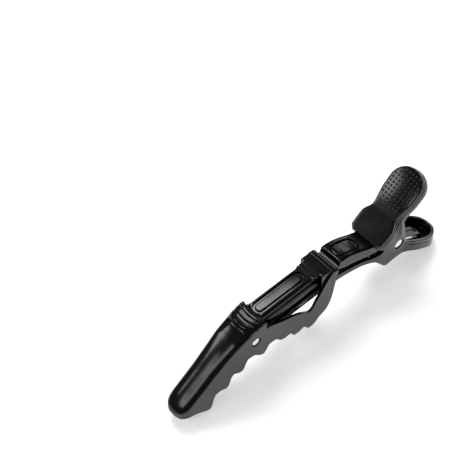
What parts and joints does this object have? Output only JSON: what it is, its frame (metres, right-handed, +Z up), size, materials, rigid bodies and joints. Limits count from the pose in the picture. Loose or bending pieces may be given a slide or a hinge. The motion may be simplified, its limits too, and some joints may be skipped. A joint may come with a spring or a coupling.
{
  "type": "sectioning clip",
  "caption": "Double-hinged spring clip with a hollow beak over a toothed lower jaw, opened by squeezing two rear paddles, for holding sections of hair.",
  "frame": {"origin": "on the ground, under the middle of the clip's overall length and width, with the clip closed and resting on its beak and its lower paddle", "axes": "+X across the width, along both hinge pins; +Y from the beak tip towards the thumb paddles; +Z up"},
  "size_m": [0.0142, 0.1198, 0.0429],
  "materials": {
    "jaw_plastic": "gloss",
    "lever_plastic": "semi-gloss",
    "lower_plastic": "gloss",
    "front_pin_steel": "polished",
    "rear_pin_steel": "polished",
    "spring_steel": "satin"
  },
  "bodies": {
    "lower": {"lower_jaw": "lower_plastic", "rear_pin": "rear_pin_steel", "torsion_spring": "spring_steel"},
    "lever": {"upper_lever": "lever_plastic"},
    "jaw": {"upper_jaw": "jaw_plastic", "front_pin": "front_pin_steel"}
  },
  "joints": [
    {"name": "lever_squeeze", "type": "hinge", "parent": "lower", "child": "lever", "pos_m": [0, 0.0353, 0.0192], "axis": [-1, 0, 0], "range_deg": [0, 35], "stiffness_Nm_per_rad": 0.25, "springref_deg": -11.46, "deforming": ["torsion_spring"]},
    {"name": "jaw_swivel", "type": "hinge", "parent": "lever", "child": "jaw", "pos_m": [0, -0.0288, 0.021], "axis": [1, 0, 0], "range_deg": [0, 6]}
  ]
}
